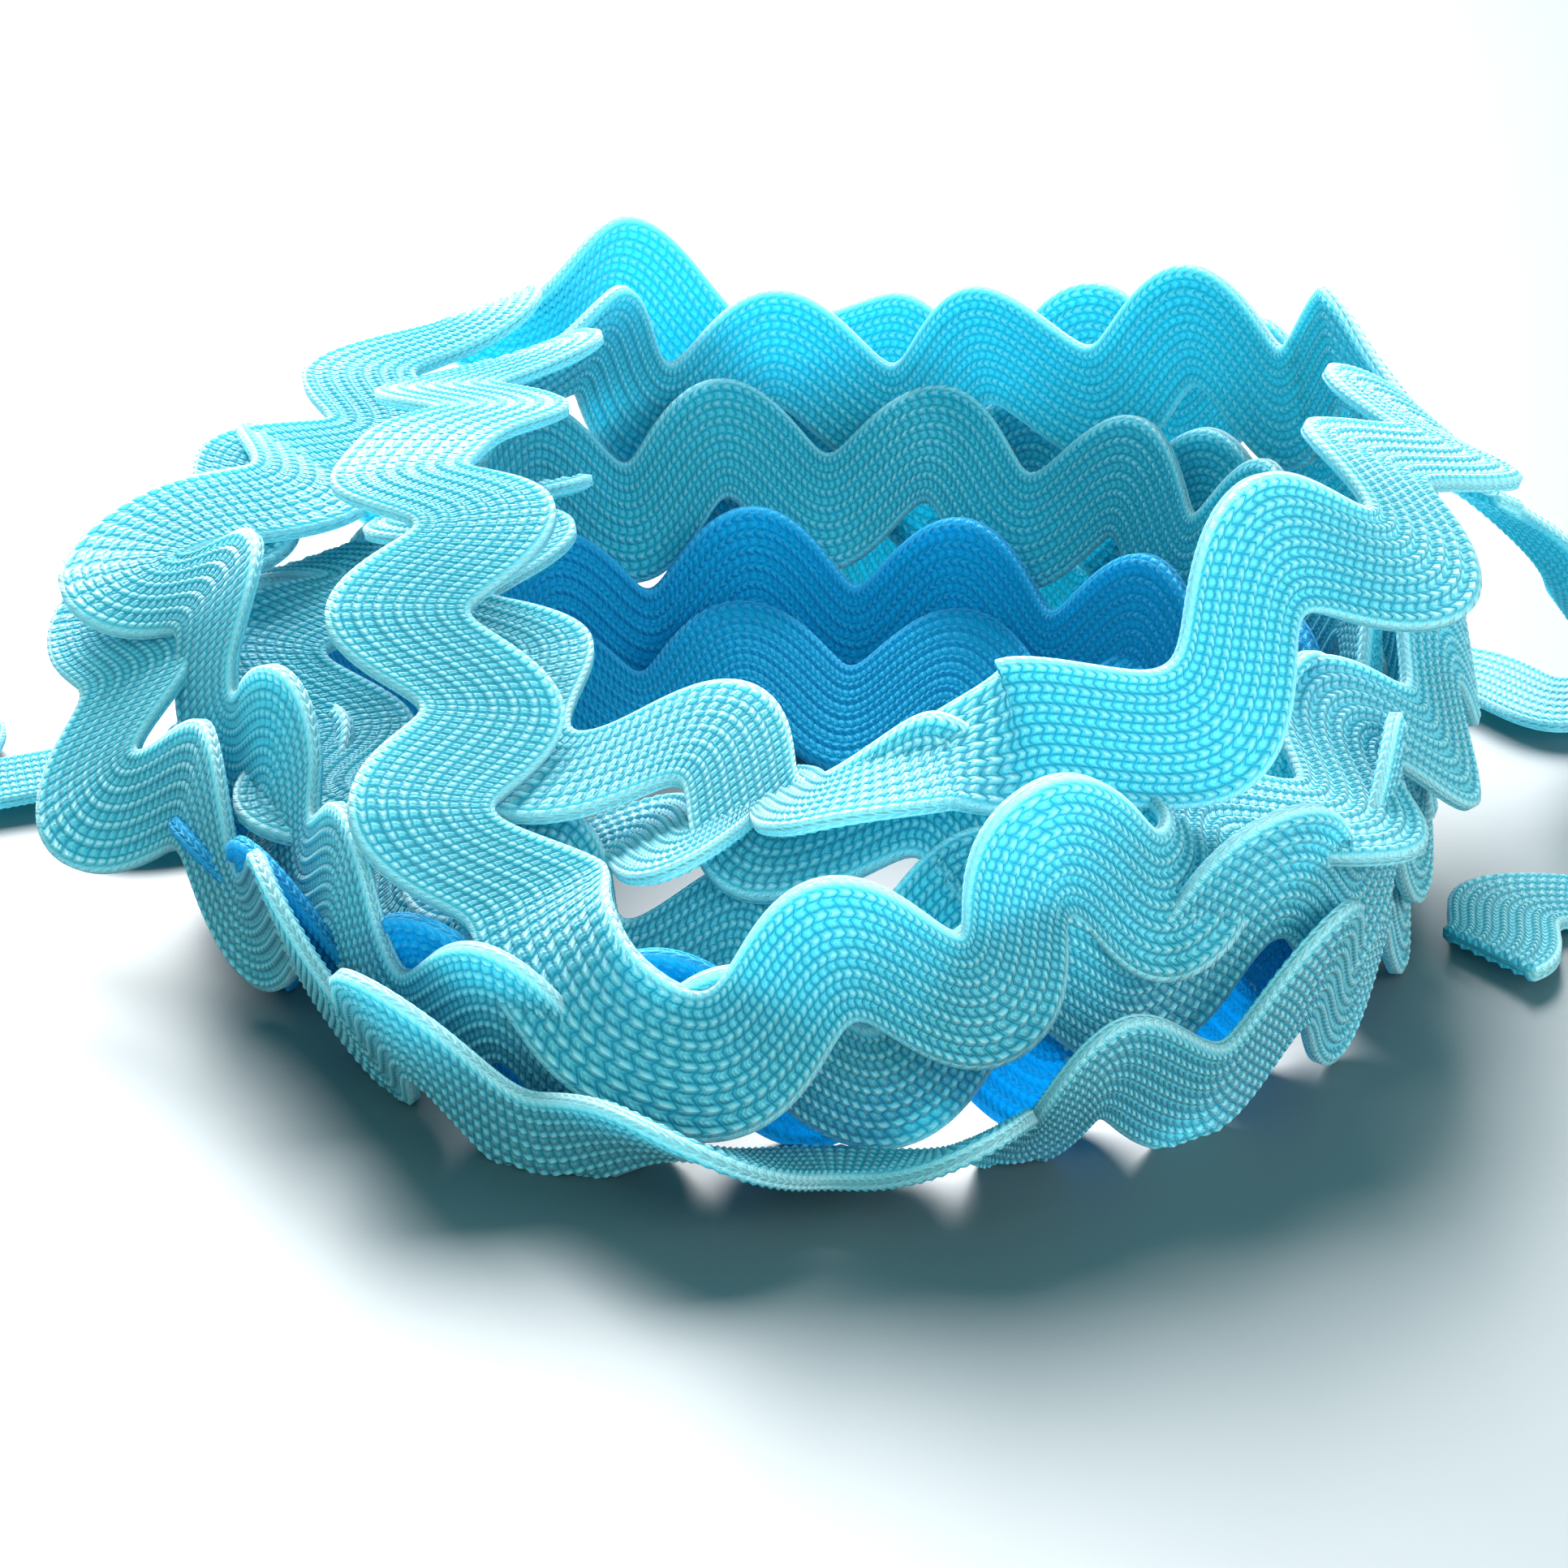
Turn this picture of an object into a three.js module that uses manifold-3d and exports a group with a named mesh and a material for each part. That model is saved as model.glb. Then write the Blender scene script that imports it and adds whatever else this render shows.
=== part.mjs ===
// A loose roll of ric rac: one flat zigzag braid wound by hand into a wide, open ring,
// with a loop and two ends of it lying loose around the roll.
// Millimetres, +Z up. The roll rests on its lowest turn, at z = 0.
import * as THREE from "three";
import Module from "manifold-3d";

// The braid
const BRAID_WIDTH = 7.4; // edge to edge, straight across the run of the strip
const WAVE_REACH = 2.35; // how far the braid swings to each side of that run
const WAVE_LENGTH = 12.5; // crest to crest
const WAVE_TURN = 0.25; // how far the cross-section turns with the wave, radians
const THICKNESS = 1.3;
const STEPS_PER_WAVE = 6;
const STEPS_PER_LINK = 6; // the strip is closed off this often, so that its turns can be joined

// From the middle of the ring to the origin, which lies under the middle of the whole part
const MIDDLE = { x: 3.423, y: -2.635 };

// The winding, from the inner end outwards. Each row is one station of the strip's middle line:
// azimuth (degrees from the front, growing counterclockwise), radius and height (mm),
// lean (degrees from upright, top edge outwards), and, where it is known, the phase of the wave
// there (0 at a crest of the top edge, 0.5 at a crest of the bottom edge).
const INNER_TURN = [
  [235, 20.0, 19.0, -75],
  [262, 17.5, 20.2, -80],
  [285, 17.5, 19.4, -82],
  [305, 19.3, 17.0, -82, 0],
  [328, 21.5, 15.0, -74, 0.5],
  [348, 22.8, 15.8, -66, 0],
  [361, 25.0, 15.0, -58, 0.5],
  [373, 29.0, 14.8, -40, 0],
  [390, 31.0, 14.0, -30],
  [420, 32.0, 13.5, -10],
  [460, 32.4, 13.0, 0],
  [501, 32.0, 13.2, 16, 0],
  [518, 31.4, 13.6, 30],
  [532, 31.0, 13.8, 34],
  [548, 30.7, 13.8, 26],
  [575, 30.2, 13.8, -8],
  [600, 28.0, 15.0, -60],
  [621, 25.0, 16.1, -90],
  [635, 26.6, 13.0, -95],
  [650, 26.2, 10.6, -90],
  [690, 24.6, 9.6, -78],
];
const RISING_TURN = [
  [707, 25.2, 13.0, -88],
  [724, 26.5, 16.1, -94, 0.45],
  [735, 28.6, 17.4, -76, 0.8],
  [743.4, 30.6, 17.5, -28, 0],
  [757, 32.0, 21.3, -22, 0.5],
  [768.6, 33.0, 24.8, -20, 0],
  [781, 34.4, 26.6, -50, 0.5],
  [802, 33.4, 27.2, -70, 0.5],
  [822, 35.8, 24.8, -45],
  [838, 36.8, 23.6, -12, 0],
];
const BACK_RIM = [
  [844, 36.5, 23.4, 0, 0.35],
  [857, 36.0, 22.2, 0, 0],
  [869, 35.0, 20.8, 0, 0.55],
  [879, 35.0, 19.2, 0, 0],
  [890, 35.0, 18.4, 0, 0.55],
  [901, 35.0, 18.3, 0, 0],
  [914, 34.4, 18.9, -5, 0.6],
  [923, 32.8, 20.6, -22, 0.05],
];
const LEFT_BRIDGE = [
  [936, 26.7, 23.6, -66],
  [952, 21.9, 24.8, -84],
  [976, 18.6, 25.2, -88],
  [1000, 18.3, 25.0, -84, 0.5],
  [1017, 20.0, 23.9, -84, 0],
  [1030, 22.6, 21.0, -90, 0.5],
  [1039, 25.9, 17.6, -98, 0],
  [1048, 29.5, 14.2, -98, 0.5],
  [1055, 33.2, 11.0, -70, 0],
];
const FRONT_STRAND = [
  [1064, 36.2, 9.6, -30, 0.25],
  [1074, 38.2, 9.4, -8, 0.5],
  [1084.5, 38.4, 10.8, 0, 0],
  [1093, 38.4, 12.4, 0, 0.5],
  [1100, 38.0, 14.8, 0, 0],
  [1109, 37.0, 15.2, -15, 0.5],
  [1116, 35.5, 13.8, -60, 0.85],
  [1126, 35.5, 14.8, -76, 0.4],
  [1145, 35.2, 15.4, -40],
  [1165, 36.4, 15.8, -14],
  [1185, 37.5, 16.6, -14],
];
const OUTER_RIM = [
  [1208, 39.5, 18.4, 0],
  [1231, 39.5, 18.8, 5, 0],
  [1250, 39.0, 17.2, 0, 0],
  [1265, 38.8, 20.4, 0, 0.55],
  [1277, 38.0, 22.8, -10, 0],
  [1294, 34.0, 24.2, -70],
  [1314, 30.5, 21.8, -92],
  [1328, 30.5, 20.0, -96],
  [1341, 34.0, 17.6, -90],
  [1350, 36.8, 13.6, -70],
  [1361, 36.6, 10.4, -45],
  [1372, 33.8, 8.4, -10],
];
const LOWEST_TURN = [
  [1388, 33.4, 6.4, 15],
  [1402, 35.4, 5.0, 28],
  [1411, 37.6, 4.6, 28, 0],
  [1422, 39.2, 4.2, 26, 0.5],
  [1434, 39.6, 3.0, 60, 0],
  [1443, 40.0, 2.4, 74, 0.5],
  [1452, 39.8, 3.0, 60, 0],
  [1462.5, 39.3, 4.4, 28, 0],
  [1472, 39.6, 5.0, 24, 0.5],
  [1481, 38.8, 6.0, 18, 0],
  [1500, 35.5, 6.2, 0],
  [1525, 33.6, 5.9, -4],
  [1560, 36.0, 5.8, -4],
  [1600, 38.0, 6.2, 5],
  [1630, 36.4, 9.4, -12, 0],
  [1645, 35.4, 10.8, -26],
];
const SECOND_TURN = [
  [1672, 31.0, 18.6, -90],
  [1692, 30.5, 20.6, -104, 0],
  [1706, 34.0, 18.4, -84, 0.5],
  [1714, 32.4, 17.0, -40],
  [1722, 31.0, 14.6, -12],
  [1730, 30.0, 12.4, 0],
  [1743, 29.8, 11.2, -10],
  [1754, 32.2, 9.6, -5],
  [1764, 34.2, 7.2, 10],
  [1778, 35.6, 5.6, 18],
  [1792, 36.0, 5.6, 16],
  [1806, 36.0, 6.8, 12],
  [1818, 36.4, 8.8, 12, 0],
  [1827.5, 37.2, 9.8, 14, 0.5],
  [1842, 38.6, 11.6, 8, 0.2],
  [1865, 35.6, 11.2, -8],
  [1885, 34.8, 10.8, -8],
  [1910, 36.2, 11.0, -8],
  [1940, 37.5, 12.0, 0],
  [1985, 36.5, 12.5, 0],
  [2015, 34.0, 11.0, -10],
  [2045, 30.5, 9.0, -25],
  [2075, 28.5, 7.8, -40],
  [2100, 28.0, 7.8, -50],
  [2132, 29.0, 9.6, -58, 0],
  [2155, 31.0, 8.6, -50],
  [2172, 32.0, 9.8, -30],
  [2200, 34.5, 8.5, 0],
];
const INNER_WALL = [
  [2240, 31.4, 7.0, 5],
  [2275, 28.2, 7.0, 8],
  [2310, 26.3, 7.0, 10],
  [2350, 26.2, 7.0, 8],
  [2385, 27.0, 6.6, 2],
  [2420, 30.0, 5.8, 10],
  [2460, 32.0, 5.2, 20],
  [2500, 33.0, 5.4, 20],
  [2540, 34.5, 6.0, 10],
  [2580, 34.0, 6.0, 5],
];
const FLOOR_TURN = [
  [2615, 29.0, 4.8, 25],
  [2645, 24.6, 4.0, 48],
  [2680, 20.8, 3.8, 52],
  [2720, 21.0, 3.8, 52],
  [2750, 25.0, 3.9, 48],
  [2780, 29.5, 4.2, 40],
  [2820, 31.0, 4.2, 40],
];
const WINDING = [
  ...INNER_TURN,
  ...RISING_TURN,
  ...BACK_RIM,
  ...LEFT_BRIDGE,
  ...FRONT_STRAND,
  ...OUTER_RIM,
  ...LOWEST_TURN,
  ...SECOND_TURN,
  ...INNER_WALL,
  ...FLOOR_TURN,
];

// The loose lengths, which lie nearly flat. Each row: x and y from the middle of the ring,
// height, and lean as above.
const LOOP_RIGHT = [
  [36.2, -10.6, 1.2, 88],
  [42.6, -6.6, 1.2, 88],
  [51, -1.5, 1.2, 88],
  [58, 5, 1.2, 88],
  [61, 13, 1.2, 88],
  [58, 21.5, 1.2, 88],
  [50, 25.2, 1.2, 88],
  [41.5, 27, 1.2, 88],
  [32.2, 27.4, 1.2, 88],
];
const END_RIGHT = [
  [37.3, 13.9, 19.4, 90],
  [43.0, 17.0, 15.8, 90],
  [45.8, 18.2, 11.2, 90],
  [48.6, 18.6, 6.4, 90],
  [50.2, 18.2, 3.4, 90],
];
const END_LEFT = [
  [-30.2, 5.3, 1.2, 88],
  [-41, 10, 1.2, 88],
  [-49, 14.5, 1.2, 88],
  [-56, 21, 1.2, 88],
];

const rad = THREE.MathUtils.degToRad;

// Cubic through all the stations, level with the chord of its two neighbours at each one
function through(at, value, x) {
  let i = 0;
  while (i < at.length - 2 && x >= at[i + 1]) i += 1;
  const slope = (k) => {
    const a = Math.max(k - 1, 0);
    const b = Math.min(k + 1, at.length - 1);
    return (value[b] - value[a]) / (at[b] - at[a]);
  };
  const h = at[i + 1] - at[i];
  const t = (x - at[i]) / h;
  const s = 1 - t;
  return (
    s * s * (1 + 2 * t) * value[i] +
    t * t * (3 - 2 * t) * value[i + 1] +
    h * t * s * (s * slope(i) - t * slope(i + 1))
  );
}

// A run is the strip's middle line: its stations, and the point and lean at any place along it
function windingRun(rows) {
  const [at, radius, height, lean] = [0, 1, 2, 3].map((k) => rows.map((r) => r[k]));
  const phase = rows.map((r) => r[4]);
  const point = (x) => {
    const r = through(at, radius, x);
    const a = rad(x);
    return new THREE.Vector3(r * Math.sin(a), -r * Math.cos(a), through(at, height, x));
  };
  return { at, phase, point, lean: (x) => rad(through(at, lean, x)) };
}

function looseRun(rows) {
  const at = rows.map((r, i) => i);
  const [x, y, z, lean] = [0, 1, 2, 3].map((k) => rows.map((r) => r[k]));
  const point = (s) =>
    new THREE.Vector3(through(at, x, s), through(at, y, s), through(at, z, s));
  return { at, phase: rows.map(() => undefined), point, lean: (s) => rad(through(at, lean, s)) };
}

// Even steps of the wave along a run: the place of each step, and the waves counted up to it.
// Between stations the count follows the length; a known phase takes the nearest whole count.
function waveSteps(run) {
  const count = [0];
  for (let i = 1; i < run.at.length; i += 1) {
    let length = 0;
    let last = run.point(run.at[i - 1]);
    for (let k = 1; k <= 24; k += 1) {
      const next = run.point(run.at[i - 1] + ((run.at[i] - run.at[i - 1]) * k) / 24);
      length += next.distanceTo(last);
      last = next;
    }
    const free = count[i - 1] + length / WAVE_LENGTH;
    const phase = run.phase[i];
    count.push(phase === undefined ? free : Math.round(free - phase) + phase);
  }
  const steps = Math.round(count[count.length - 1] * STEPS_PER_WAVE);
  const out = [];
  let x = run.at[0];
  const end = run.at[run.at.length - 1];
  const fine = (end - x) / (steps * 40);
  for (let k = 0; k <= steps; k += 1) {
    const goal = (count[count.length - 1] * k) / steps;
    while (x < end && through(run.at, count, x) < goal) x += fine;
    out.push({ x: Math.min(x, end), waves: goal });
  }
  return out;
}

// The cross-section of the strip at one step: four corners, in order round it
function section(run, { x, waves }) {
  const first = run.at[0];
  const last = run.at[run.at.length - 1];
  const d = (last - first) * 2e-5;
  const along = run
    .point(Math.min(x + d, last))
    .sub(run.point(Math.max(x - d, first)))
    .normalize();
  const out = new THREE.Vector3(along.y, -along.x, 0).normalize();
  const up = new THREE.Vector3().crossVectors(out, along);
  if (up.z < 0) up.negate();
  const lean = run.lean(x);
  const across = up.multiplyScalar(Math.cos(lean)).addScaledVector(out, Math.sin(lean));
  const face = new THREE.Vector3().crossVectors(along, across).normalize();
  const swing = WAVE_REACH * Math.cos(2 * Math.PI * waves);
  const turn = -WAVE_TURN * Math.sin(2 * Math.PI * waves);
  const corner = (side, top) =>
    run
      .point(x)
      .addScaledVector(along, -side * Math.sin(turn))
      .addScaledVector(across, swing + side * Math.cos(turn))
      .addScaledVector(face, (top * THICKNESS) / 2);
  const half = BRAID_WIDTH / 2;
  return [corner(-half, -1), corner(half, -1), corner(half, 1), corner(-half, 1)];
}

const wasm = await Module();
wasm.setup();

// One closed link of the strip, from its cross-sections
function link(sections) {
  const vertices = sections.flat().flatMap((v) => [v.x, v.y, v.z]);
  const triangles = [];
  const last = (sections.length - 1) * 4;
  for (let s = 0; s < last; s += 4)
    for (let c = 0; c < 4; c += 1) {
      const d = (c + 1) % 4;
      triangles.push(s + c, s + d, s + 4 + d, s + c, s + 4 + d, s + 4 + c);
    }
  triangles.push(0, 2, 1, 0, 3, 2);
  triangles.push(last, last + 1, last + 2, last, last + 2, last + 3);
  const solid = new wasm.Manifold(
    new wasm.Mesh({
      numProp: 3,
      vertProperties: new Float32Array(vertices),
      triVerts: new Uint32Array(triangles),
    }),
  );
  return solid;
}

// The whole strip of a run as one solid, cut flat where it lies on the table
function strip(run) {
  const sections = waveSteps(run).map((step) => section(run, step));
  const links = [];
  for (let s = 0; s < sections.length - 1; s += STEPS_PER_LINK)
    links.push(link(sections.slice(s, s + STEPS_PER_LINK + 1)));
  const joined = wasm.Manifold.union(links).trimByPlane([0, 0, 1], 0);
  // Pockets sealed between turns are filled, and stray slivers left by the flat cut are dropped
  const shells = joined.decompose().sort((a, b) => b.volume() - a.volume());
  return shells[0];
}

function mesh(name, solid, colour) {
  const { vertProperties, triVerts } = solid.getMesh();
  const geometry = new THREE.BufferGeometry();
  geometry.setAttribute("position", new THREE.BufferAttribute(new Float32Array(vertProperties), 3));
  geometry.setIndex(new THREE.BufferAttribute(new Uint32Array(triVerts), 1));
  geometry.computeVertexNormals();
  const material = new THREE.MeshStandardMaterial({ color: colour, roughness: 0.65, metalness: 0 });
  const made = new THREE.Mesh(geometry, material);
  made.name = name;
  made.position.set(-MIDDLE.x, -MIDDLE.y, 0);
  return made;
}

const part = new THREE.Group();
part.add(
  mesh("roll", strip(windingRun(WINDING)), "#5fcbdc"),
  mesh("loop_right", strip(looseRun(LOOP_RIGHT)), "#5fcbdc"),
  mesh("end_right", strip(looseRun(END_RIGHT)), "#5fcbdc"),
  mesh("end_left", strip(looseRun(END_LEFT)), "#5fcbdc"),
);

export default part;
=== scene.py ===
"""A loose roll of ric rac: one flat zigzag braid, wound by hand into a wide, open ring."""

import math

import bpy
import numpy as np
from bpy.props import FloatProperty, FloatVectorProperty, IntProperty, PointerProperty
from mathutils import Euler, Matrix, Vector


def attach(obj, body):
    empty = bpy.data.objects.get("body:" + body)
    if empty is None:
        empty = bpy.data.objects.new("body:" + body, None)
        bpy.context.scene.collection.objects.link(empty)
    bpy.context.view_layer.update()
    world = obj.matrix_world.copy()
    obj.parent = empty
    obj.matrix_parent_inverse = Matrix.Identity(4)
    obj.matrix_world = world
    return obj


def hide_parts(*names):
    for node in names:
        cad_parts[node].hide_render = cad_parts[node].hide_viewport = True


bl_info = {
    "name": "Ric rac roll",
    "version": (1, 0, 0),
    "blender": (4, 5, 0),
    "location": "View3D > Sidebar > Ric rac",
    "description": "A loose, hand-wound roll of aqua ric rac braid, with every stitch of it",
    "category": "Add Mesh",
}

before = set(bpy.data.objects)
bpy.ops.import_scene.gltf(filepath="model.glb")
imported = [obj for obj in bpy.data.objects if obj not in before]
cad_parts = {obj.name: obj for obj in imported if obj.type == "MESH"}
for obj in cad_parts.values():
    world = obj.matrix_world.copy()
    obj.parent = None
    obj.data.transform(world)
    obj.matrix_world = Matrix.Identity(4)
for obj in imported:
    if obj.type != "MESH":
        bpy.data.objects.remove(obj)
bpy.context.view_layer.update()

MM = 0.001

# From the middle of the ring to the origin, mm, as the solids have it
MIDDLE = (3.423, -2.635)

# The camera's place from the middle of the ring, mm
EYE = (0, -216, 93.7)

# Length of the zigzag for one length of the run
ZIGZAG = 1.29

# The winding, from the inner end outwards. Each row is one station of the strip's middle line:
# azimuth (degrees from the front, growing counterclockwise), radius and height (mm),
# lean (degrees from upright, top edge outwards), and, where it is known, the phase of the wave
# there (0 at a crest of the top edge, 0.5 at a crest of the bottom edge).
INNER_TURN = (
    (235, 20.0, 19.0, -75),
    (262, 17.5, 20.2, -80),
    (285, 17.5, 19.4, -82),
    (305, 19.3, 17.0, -82, 0),
    (328, 21.5, 15.0, -74, 0.5),
    (348, 22.8, 15.8, -66, 0),
    (361, 25.0, 15.0, -58, 0.5),
    (373, 29.0, 14.8, -40, 0),
    (390, 31.0, 14.0, -30),
    (420, 32.0, 13.5, -10),
    (460, 32.4, 13.0, 0),
    (501, 32.0, 13.2, 16, 0),
    (518, 31.4, 13.6, 30),
    (532, 31.0, 13.8, 34),
    (548, 30.7, 13.8, 26),
    (575, 30.2, 13.8, -8),
    (600, 28.0, 15.0, -60),
    (621, 25.0, 16.1, -90),
    (635, 26.6, 13.0, -95),
    (650, 26.2, 10.6, -90),
    (690, 24.6, 9.6, -78),
)
RISING_TURN = (
    (707, 25.2, 13.0, -88),
    (724, 26.5, 16.1, -94, 0.45),
    (735, 28.6, 17.4, -76, 0.8),
    (743.4, 30.6, 17.5, -28, 0),
    (757, 32.0, 21.3, -22, 0.5),
    (768.6, 33.0, 24.8, -20, 0),
    (781, 34.4, 26.6, -50, 0.5),
    (802, 33.4, 27.2, -70, 0.5),
    (822, 35.8, 24.8, -45),
    (838, 36.8, 23.6, -12, 0),
)
BACK_RIM = (
    (844, 36.5, 23.4, 0, 0.35),
    (857, 36.0, 22.2, 0, 0),
    (869, 35.0, 20.8, 0, 0.55),
    (879, 35.0, 19.2, 0, 0),
    (890, 35.0, 18.4, 0, 0.55),
    (901, 35.0, 18.3, 0, 0),
    (914, 34.4, 18.9, -5, 0.6),
    (923, 32.8, 20.6, -22, 0.05),
)
LEFT_BRIDGE = (
    (936, 26.7, 23.6, -66),
    (952, 21.9, 24.8, -84),
    (976, 18.6, 25.2, -88),
    (1000, 18.3, 25.0, -84, 0.5),
    (1017, 20.0, 23.9, -84, 0),
    (1030, 22.6, 21.0, -90, 0.5),
    (1039, 25.9, 17.6, -98, 0),
    (1048, 29.5, 14.2, -98, 0.5),
    (1055, 33.2, 11.0, -70, 0),
)
FRONT_STRAND = (
    (1064, 36.2, 9.6, -30, 0.25),
    (1074, 38.2, 9.4, -8, 0.5),
    (1084.5, 38.4, 10.8, 0, 0),
    (1093, 38.4, 12.4, 0, 0.5),
    (1100, 38.0, 14.8, 0, 0),
    (1109, 37.0, 15.2, -15, 0.5),
    (1116, 35.5, 13.8, -60, 0.85),
    (1126, 35.5, 14.8, -76, 0.4),
    (1145, 35.2, 15.4, -40),
    (1165, 36.4, 15.8, -14),
    (1185, 37.5, 16.6, -14),
)
OUTER_RIM = (
    (1208, 39.5, 18.4, 0),
    (1231, 39.5, 18.8, 5, 0),
    (1250, 39.0, 17.2, 0, 0),
    (1265, 38.8, 20.4, 0, 0.55),
    (1277, 38.0, 22.8, -10, 0),
    (1294, 34.0, 24.2, -70),
    (1314, 30.5, 21.8, -92),
    (1328, 30.5, 20.0, -96),
    (1341, 34.0, 17.6, -90),
    (1350, 36.8, 13.6, -70),
    (1361, 36.6, 10.4, -45),
    (1372, 33.8, 8.4, -10),
)
LOWEST_TURN = (
    (1388, 33.4, 6.4, 15),
    (1402, 35.4, 5.0, 28),
    (1411, 37.6, 4.6, 28, 0),
    (1422, 39.2, 4.2, 26, 0.5),
    (1434, 39.6, 3.0, 60, 0),
    (1443, 40.0, 2.4, 74, 0.5),
    (1452, 39.8, 3.0, 60, 0),
    (1462.5, 39.3, 4.4, 28, 0),
    (1472, 39.6, 5.0, 24, 0.5),
    (1481, 38.8, 6.0, 18, 0),
    (1500, 35.5, 6.2, 0),
    (1525, 33.6, 5.9, -4),
    (1560, 36.0, 5.8, -4),
    (1600, 38.0, 6.2, 5),
    (1630, 36.4, 9.4, -12, 0),
    (1645, 35.4, 10.8, -26),
)
SECOND_TURN = (
    (1672, 31.0, 18.6, -90),
    (1692, 30.5, 20.6, -104, 0),
    (1706, 34.0, 18.4, -84, 0.5),
    (1714, 32.4, 17.0, -40),
    (1722, 31.0, 14.6, -12),
    (1730, 30.0, 12.4, 0),
    (1743, 29.8, 11.2, -10),
    (1754, 32.2, 9.6, -5),
    (1764, 34.2, 7.2, 10),
    (1778, 35.6, 5.6, 18),
    (1792, 36.0, 5.6, 16),
    (1806, 36.0, 6.8, 12),
    (1818, 36.4, 8.8, 12, 0),
    (1827.5, 37.2, 9.8, 14, 0.5),
    (1842, 38.6, 11.6, 8, 0.2),
    (1865, 35.6, 11.2, -8),
    (1885, 34.8, 10.8, -8),
    (1910, 36.2, 11.0, -8),
    (1940, 37.5, 12.0, 0),
    (1985, 36.5, 12.5, 0),
    (2015, 34.0, 11.0, -10),
    (2045, 30.5, 9.0, -25),
    (2075, 28.5, 7.8, -40),
    (2100, 28.0, 7.8, -50),
    (2132, 29.0, 9.6, -58, 0),
    (2155, 31.0, 8.6, -50),
    (2172, 32.0, 9.8, -30),
    (2200, 34.5, 8.5, 0),
)
INNER_WALL = (
    (2240, 31.4, 7.0, 5),
    (2275, 28.2, 7.0, 8),
    (2310, 26.3, 7.0, 10),
    (2350, 26.2, 7.0, 8),
    (2385, 27.0, 6.6, 2),
    (2420, 30.0, 5.8, 10),
    (2460, 32.0, 5.2, 20),
    (2500, 33.0, 5.4, 20),
    (2540, 34.5, 6.0, 10),
    (2580, 34.0, 6.0, 5),
)
FLOOR_TURN = (
    (2615, 29.0, 4.8, 25),
    (2645, 24.6, 4.0, 48),
    (2680, 20.8, 3.8, 52),
    (2720, 21.0, 3.8, 52),
    (2750, 25.0, 3.9, 48),
    (2780, 29.5, 4.2, 40),
    (2820, 31.0, 4.2, 40),
)

# The winding's lengths, each one piece: its name, and the tables that it runs through
WINDING = (
    ("inner_turns", INNER_TURN + RISING_TURN),
    ("rim_and_front", BACK_RIM + LEFT_BRIDGE + FRONT_STRAND),
    ("outer_turn", OUTER_RIM + LOWEST_TURN),
    ("second_turn", SECOND_TURN),
    ("wall_and_floor", INNER_WALL + FLOOR_TURN),
)

# The finishes: the material's name, how far its colours go to a deeper one at the least, and which
# colour that is. The lowest turns get painted shade: the deep blue that the roll's own shade gives
# them is painted into their colour.
DEEP_SHADE_PIECES = ("wall_and_floor",)
FINISH = ("Polyester flat braid", 0.0, "inner")
DEEP_SHADE_FINISH = ("Polyester flat braid, inner turns", 0.9, "lowest_painted_shade")

# The loose lengths, which lie nearly flat, each with the name of its solid.
# Each row: x and y from the middle of the ring, height (mm), and lean as above.
LOOSE = (
    (
        "loose_loop",
        "loop_right",
        (
            (36.2, -10.6, 1.2, 88),
            (42.6, -6.6, 1.2, 88),
            (51, -1.5, 1.2, 88),
            (58, 5, 1.2, 88),
            (61, 13, 1.2, 88),
            (58, 21.5, 1.2, 88),
            (50, 25.2, 1.2, 88),
            (41.5, 27, 1.2, 88),
            (32.2, 27.4, 1.2, 88),
        ),
    ),
    (
        "hanging_end",
        "end_right",
        (
            (37.3, 13.9, 19.4, 90),
            (43.0, 17.0, 15.8, 90),
            (45.8, 18.2, 11.2, 90),
            (48.6, 18.6, 6.4, 90),
            (50.2, 18.2, 3.4, 90),
        ),
    ),
    (
        "lying_end",
        "end_left",
        (
            (-30.2, 5.3, 1.2, 88),
            (-41, 10, 1.2, 88),
            (-49, 14.5, 1.2, 88),
            (-56, 21, 1.2, 88),
        ),
    ),
)


def linear(code):
    """The linear colour of an sRGB hex code such as #5fcbdc."""
    parts = [int(code[i : i + 2], 16) / 255 for i in (1, 3, 5)]
    return [c / 12.92 if c <= 0.04045 else ((c + 0.055) / 1.055) ** 2.4 for c in parts]


def put(tree, name, kind, settings=None, inputs=None):
    """Add one node. Inputs go by socket name or number. A text value names an earlier node,
    or one of its outputs as "node>output", unless the socket itself takes text."""
    node = tree.nodes.new(kind)
    node.name = node.label = name
    for key, value in (settings or {}).items():
        setattr(node, key, value)
    if not isinstance(inputs, dict):
        inputs = dict(enumerate(inputs or ()))
    for socket, value in inputs.items():
        if isinstance(value, str) and node.inputs[socket].type != "STRING":
            source, _, output = value.partition(">")
            outputs = tree.nodes[source].outputs
            tree.links.new(outputs[output] if output else outputs[0], node.inputs[socket])
        else:
            node.inputs[socket].default_value = value
    return node


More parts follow.
